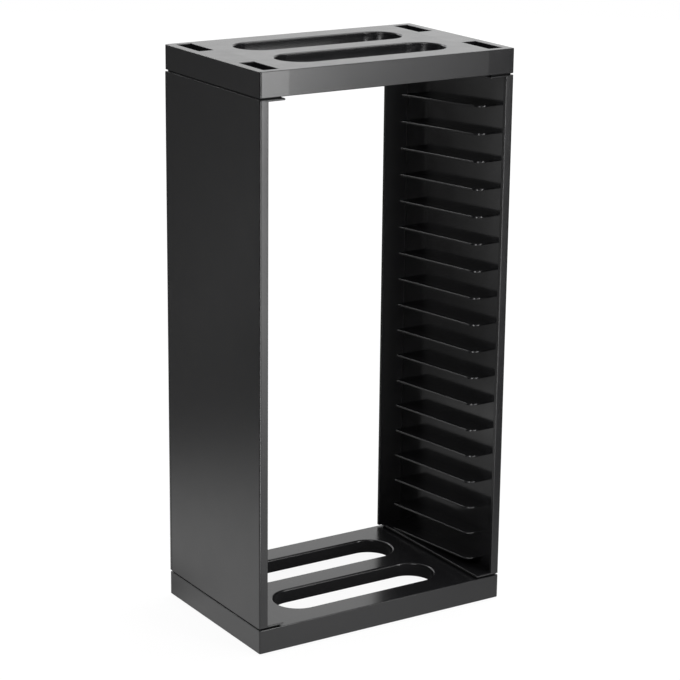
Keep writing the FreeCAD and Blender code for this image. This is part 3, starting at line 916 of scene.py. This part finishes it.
    def _add_plugs(self) -> None:
        """Add the hollow plugs above and below: a closed wall profile carried round a rounded rectangle."""
        wall, lead, reach = self.plug_wall, self.plug_lead_in, self.plug_height
        profile = np.array((
            (0, -self.sunk), (0, reach - lead), (-lead, reach), (-wall, reach), (-wall, -self.sunk)))
        half = (self.plug_width / 2, self.plug_length / 2)
        middle_x = self.plug_x + half[0]
        for middle_y in (self.plug_y + half[1], self.depth - self.plug_y - half[1]):
            tube = carried_round((middle_x, middle_y), half, wall / 2, profile, steps=4)
            self.shell.grid(tube + (0, 0, self.height), close_rows=True)
            self.shell.grid(tube * (1, 1, -1), close_rows=True, flip=True)


@dataclass
class Foot:
    """A rubber foot: a stem pushed up into a socket of the base, and a sole with two grooves round it."""

    node: str
    finish: FootRubber
    sole: float = 0.8
    lip: float = 1.4
    clearance: float = 0.2
    edge_round: float = 0.3
    lead_in: float = 0.6
    groove_depth: float = 0.25
    groove_width: float = 0.8
    groove_insets: Span = (4.2, 2.2)
    middle_inset: float = 6.0

    def build(self) -> None:
        """Make the foot and put it in its node's place: one profile carried round a rounded rectangle."""
        low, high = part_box(self.node)
        half = ((high.x - low.x) / MM / 2, (high.y - low.y) / MM / 2)
        centre = ((low.x + high.x) / MM / 2, (low.y + high.y) / MM / 2)
        tall = (high.z - low.z) / MM
        width = self.groove_width / 2
        grooves = [
            ((-at - width, 0.0), (-at, self.groove_depth), (-at + width, 0.0)) for at in self.groove_insets]
        under = np.array(((-self.middle_inset, 0.0), *grooves[0], *grooves[1]))
        soft, stem = self.edge_round, -self.lip - self.clearance
        lower = arc((-soft, soft), soft, -1, 0, steps=4)
        upper = arc((-soft, self.sole - soft), soft, 0, 1, steps=4)
        plug = np.array(((stem, self.sole), (stem, tall - self.lead_in), (stem - self.lead_in, tall)))
        profile = np.concatenate((under, lower, upper, plug)) + (0.0, low.z / MM)
        shell = Shell()
        shell.carry(centre, half, self.lip, profile, steps=5, capped=True)
        put_in_scene(shell, self.node + "_rubber", self.finish, self.node)


@dataclass(frozen=True)
class SoftBox:
    """A rectangular studio lamp, in metres and watts."""

    name: str
    place: Place
    aim: Place
    size: Span
    power: float

    def light(self) -> None:
        """Make the lamp, turned towards its aim."""
        data = bpy.data.lights.new(self.name, "AREA")
        data.shape = "RECTANGLE"
        data.size, data.size_y = self.size
        data.energy = self.power
        lamp = linked(bpy.data.objects.new(self.name, data))
        lamp.location = self.place
        lamp.rotation_euler = (Vector(self.aim) - Vector(self.place)).to_track_quat("-Z", "Y").to_euler()
        LOG.info("%s: %.1f W", self.name, self.power)


@dataclass(frozen=True)
class Fan:
    """A zone of painted floor light or shade, seen only in reflections, that spreads from an apex, in
    metres.

    Its sides are slants: how far a point lies to the right of the apex for each metre ahead of it. The
    levels are those before and behind a step along the tower's depth.
    """

    apex: Span
    facing: Facing
    left_side: Span
    right_side: Span
    depth: Span
    levels: Span = (0.0, 1.0)

    def level(self, sheet: NodeSheet) -> Socket:
        """The level inside the fan and nothing outside, with a smooth step across each side.

        Args:
            sheet: the floor's nodes.

        Returns:
            The level as an output.
        """
        ahead = sheet.product(sheet.math("SUBTRACT", sheet.y, self.apex[1]), self.facing.value)
        aside = sheet.math("SUBTRACT", sheet.x, self.apex[0])
        slant = sheet.math("DIVIDE", aside, sheet.math("MAXIMUM", ahead, LEAST_AHEAD))
        return sheet.product(
            sheet.ramp(slant, self.left_side), sheet.ramp(slant, self.right_side, (1.0, 0.0)),
            sheet.ramp(sheet.y, self.depth, self.levels))


@dataclass(frozen=True)
class PaintedFloorLight:
    """Painted light on the floor, seen only in reflections: a painted white pool round the tower, with
    painted shadows, and painted fans that stand in for lamps and reflector cards.

    The painted reflector and the two painted shade fans lie side by side in the right inner wall, and the
    painted glint zone shows as painted highlights in the ribs' front corners.
    """

    footprint: Span = (0.1025, 0.0655)
    # painted light: a white pool round the tower that glows in reflections and fades away from its middle
    pool: Place = (-0.08, 0.0, 0.0)
    painted_pool_reach: Span = (0.14, 0.53)
    painted_pool_levels: Span = (1.0, 0.12)
    # painted shadow: the floor under the tower's footprint is painted nearly black in reflections
    painted_contact_shadow_span: Span = (-0.006, 0.004)
    painted_contact_shadow_levels: Span = (0.05, 1.0)
    # painted shade: the pool is painted darker towards the right
    painted_right_shade_span: Span = (-0.05, 0.15)
    painted_right_shade_levels: Span = (1.0, 0.72)
    # painted shadow: the pool is painted darker just behind the tower, where the tower would shade the floor
    painted_lee_shadow_depth: Span = (0.03, 0.1)
    painted_lee_shadow_width: Span = (0.1, 0.15)
    # how much the painted shadow behind the tower and the painted shade fans take off the pool
    shade: float = -0.7
    # painted lamp light: a fan of floor before the tower glows in reflections, stronger further ahead, in
    # place of floor lit by the front lamp; there is no lamp in it
    painted_lamp_growth: Span = (-4.4, -0.5)
    painted_lamp_reach: Span = (1.45, 1.55)
    lamp: Fan = Fan((0.0, 0.0), Facing.FRONT, (-0.25, -0.05), (0.45, 0.78), (-0.1, 0.0), (1.0, 0.0))
    # painted glint: a narrow fan glowing ten times white in reflections, which paints the highlights on the
    # ribs' front corners
    painted_glint_strip: Fan = Fan(RIB_CORNER, Facing.FRONT, (-1.75, -1.45), (-1.15, -0.95), (-0.3, -0.2), (10.0, 0.0))
    # painted reflection: a bright painted reflector behind the tower, which lightens the right inner wall
    # towards its front
    painted_card: Fan = Fan(WALL_MIRROR, Facing.BACK, (-0.82, -0.775), (-0.77, -0.71), (0.25, 1.0), (0.0, 0.88))
    # painted shade: two fans behind the tower that darken the pool, and show as shade in the right inner
    # wall
    painted_dark: Fan = Fan(WALL_MIRROR, Facing.BACK, (-0.70, -0.69), (-0.66, -0.62), (0.05, 0.12))
    painted_rear_dark: Fan = Fan(WALL_MIRROR, Facing.BACK, (-9.0, -8.0), (-0.66, -0.62), (0.25, 0.5))

    def level(self, sheet: NodeSheet, distance: Socket) -> Socket:
        """The floor's painted brightness in mirrored rays.

        It is the painted pool with its painted shade, plus the painted reflector behind the tower, plus the
        painted glint zone before it and the painted lamp light, whose level is a line over the depth with
        painted_lamp_growth for its gain and base.

        Args:
            sheet: the floor's nodes.
            distance: the distance from the pool's middle.

        Returns:
            The brightness as an output.
        """
        # painted lamp light, growing towards the front
        growing = sheet.math("MAXIMUM", sheet.line(sheet.y, *self.painted_lamp_growth), 0.0)
        near = sheet.ramp(distance, self.painted_lamp_reach, (1.0, 0.0))
        lamp = sheet.product(self.lamp.level(sheet), growing, near)
        behind = sheet.math("ADD", self._painted_pool_and_shade(sheet, distance), self.painted_card.level(sheet))
        return sheet.math("ADD", behind, sheet.math("ADD", lamp, self.painted_glint_strip.level(sheet)))

    def _painted_pool_and_shade(self, sheet: NodeSheet, distance: Socket) -> Socket:
        """The painted white pool, fading far away, with painted shade on the right and in the two shade
        fans, and painted shadow under the tower and just behind it.

        Args:
            sheet: the floor's nodes.
            distance: the distance from the pool's middle.

        Returns:
            The brightness as an output.
        """
        aside, along = (sheet.math("ABSOLUTE", part) for part in (sheet.x, sheet.y))
        beside = sheet.math("SUBTRACT", aside, self.footprint[0])
        outside = sheet.math("MAXIMUM", beside, sheet.math("SUBTRACT", along, self.footprint[1]))
        # painted shadow just behind the tower
        painted_lee_shadow = sheet.product(
            sheet.ramp(sheet.y, self.painted_lee_shadow_depth), sheet.ramp(aside, self.painted_lee_shadow_width, (1.0, 0.0)))
        # painted shade from both shade fans
        painted_dark = sheet.math("MAXIMUM", self.painted_dark.level(sheet), self.painted_rear_dark.level(sheet))
        # the painted pool times its painted shadows and painted shade
        return sheet.product(
            sheet.ramp(outside, self.painted_contact_shadow_span, self.painted_contact_shadow_levels),
            sheet.ramp(distance, self.painted_pool_reach, self.painted_pool_levels),
            sheet.ramp(sheet.x, self.painted_right_shade_span, self.painted_right_shade_levels),
            sheet.line(painted_lee_shadow, self.shade, 1.0), sheet.line(painted_dark, self.shade, 1.0))


@dataclass
class Studio:
    """The pale floor with painted light in reflections, the soft lamps, the surroundings and the camera,
    in metres.
    """

    floor_radius: float = 3.0
    floor_spokes: int = 64
    floor_rings: int = 9
    floor_drop: float = 0.0003
    floor_colour: Colour = (0.9, 0.9, 0.9, 1.0)
    # painted light and shade that the floor shows only in reflections
    painted_floor_light: PaintedFloorLight = PaintedFloorLight()
    shown_white: float = 1.06
    shown_reach: Span = (0.3, 1.0)
    shown_share: Span = (0.88, 1.0)
    backdrop_depth: Span = (-0.1, 0.4)
    backdrop_side: Span = (-0.62, -0.44)
    horizon: Span = (-0.02, 0.04)
    backdrop_level: float = 0.95
    room_level: float = 0.12
    camera_place: Place = (-0.8598, -1.3552, 0.6675)
    camera_azimuth: float = 32.479
    camera_drop: float = 16.301
    camera_roll: float = 0.624
    lens: float = 122.97
    sensor_width: float = 36.0
    lamps: tuple[SoftBox, ...] = (
        SoftBox("top_softbox", (0.5, -0.1, 1.6), (0.0, 0.0, 0.3), (0.9, 0.9), 10.0),
        SoftBox("front_softbox", (0.5, -1.4, 0.3), (0.0, 0.0, 0.3), (0.36, 0.48), 5.5),
        SoftBox("side_softbox", (0.9, -1.4, 0.3), (0.0, 0.0, 0.3), (0.22, 0.48), 0.6),
        SoftBox("left_key", (-1.07, -0.81, 1.27), (0.0, 0.0, 0.25), (0.6, 0.6), 6.0),
        SoftBox("right_key", (0.56, -1.43, 1.17), (0.0, 0.0, 0.25), (0.6, 0.6), 5.0),
        SoftBox("rear_softbox", (0.0, 1.5, 1.4), (0.0, 0.0, 0.3), (0.8, 0.3), 2.5),
        SoftBox("rear_left_softbox", (-0.55, 1.7, 1.2), (0.0, 0.0, 0.3), (0.5, 0.3), 1.9),
    )

    def build(self) -> None:
        """Set up everything that isn't part of the object."""
        bpy.context.scene.view_settings.view_transform = "Standard"
        self._lay_floor()
        self._surround()
        for lamp in self.lamps:
            lamp.light()
        self._set_camera()

    def _lay_floor(self) -> None:
        """Lay a round floor: points at even angles on rings whose radii grow evenly."""
        angle = np.linspace(0, 2 * math.pi, self.floor_spokes, endpoint=False)
        radius = np.linspace(0.0, self.floor_radius, self.floor_rings)[:, None]
        x, y = radius * np.sin(angle), radius * np.cos(angle)
        shell = Shell()
        shell.grid(np.stack((x, y, np.full_like(x, -self.floor_drop)), axis=-1) / MM)
        mesh = shell.mesh("floor")
        mesh.materials.append(self._floor_material())
        floor = linked(bpy.data.objects.new("floor", mesh))

    def _floor_material(self) -> bpy.types.Material:
        """White to the camera, with painted light and shade in zones that only reflections show, and with
        the tower's shadow left in it.

        Returns:
            The new material.
        """
        material = bpy.data.materials.new("floor_white_painted_glow")
        sheet = NodeSheet(material)
        rays = sheet.add("ShaderNodeLightPath").outputs
        mirrored = sheet.math("MAXIMUM", rays["Is Glossy Ray"], rays["Is Transmission Ray"])
        seen = sheet.math("MAXIMUM", rays["Is Camera Ray"], mirrored)
        ends = {0: sheet.place, 1: self.painted_floor_light.pool}
        distance = sheet.add("ShaderNodeVectorMath", ends, operation="DISTANCE").outputs["Value"]
        # the painted light and shade zones, which only mirrored rays see
        level = self.painted_floor_light.level(sheet, distance)
        strength = sheet.mix(rays["Is Camera Ray"], level, self.shown_white)
        share = sheet.ramp(distance, self.shown_reach, self.shown_share)
        diffuse = sheet.add("ShaderNodeBsdfDiffuse", {"Color": self.floor_colour}).outputs[0]
        glow = sheet.add("ShaderNodeEmission", {"Strength": strength}).outputs[0]
        mixed = sheet.add("ShaderNodeMixShader", {0: share, 1: diffuse, 2: glow}).outputs[0]
        shader = sheet.add("ShaderNodeMixShader", {0: seen, 1: diffuse, 2: mixed}).outputs[0]
        sheet.add("ShaderNodeOutputMaterial", {"Surface": shader})
        return material

    def _surround(self) -> None:
        """Make the world: white to the camera, and otherwise a white backdrop in a dim room."""
        world = bpy.data.worlds.new("studio")
        bpy.context.scene.world = world
        sheet = NodeSheet(world, "Generated")
        slant = sheet.math("DIVIDE", sheet.x, sheet.math("MAXIMUM", sheet.y, LEAST_AHEAD))
        backdrop = sheet.product(
            sheet.ramp(sheet.y, self.backdrop_depth), sheet.ramp(slant, self.backdrop_side),
            sheet.ramp(sheet.z, self.horizon))
        light = sheet.line(backdrop, self.backdrop_level, self.room_level)
        camera = sheet.add("ShaderNodeLightPath").outputs["Is Camera Ray"]
        strength = sheet.mix(camera, light, 1.0)
        background = sheet.add("ShaderNodeBackground", {"Color": WHITE, "Strength": strength}).outputs[0]
        sheet.add("ShaderNodeOutputWorld", {"Surface": background})

    def _set_camera(self) -> None:
        """Stand the camera where the photograph was taken from."""
        turned = Matrix.Translation(self.camera_place)
        turns = (-self.camera_azimuth, "Z"), (90.0 - self.camera_drop, "X"), (self.camera_roll, "Z")
        for angle, axis in turns:
            turned @= Matrix.Rotation(math.radians(angle), 4, axis)
        data = bpy.data.cameras.new("camera")
        data.lens = self.lens
        data.sensor_width = self.sensor_width
        camera = linked(bpy.data.objects.new("camera", data))
        camera.matrix_world = turned
        bpy.context.scene.camera = camera


def main() -> None:
    """Build the tower's pieces and the studio."""
    logging.basicConfig(level=logging.INFO, format="%(name)s: %(message)s")
    EndPanel("base_panel", PANEL_PLASTIC).build()
    EndPanel("top_panel", PANEL_PLASTIC).build()
    for side in Side:
        SidePanel(side, SIDE_PLASTIC).build()
    for node in sorted(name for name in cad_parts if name.startswith("foot_")):
        Foot(node, RUBBER).build()
    Studio().build()


if __name__ == "__main__":
    main()
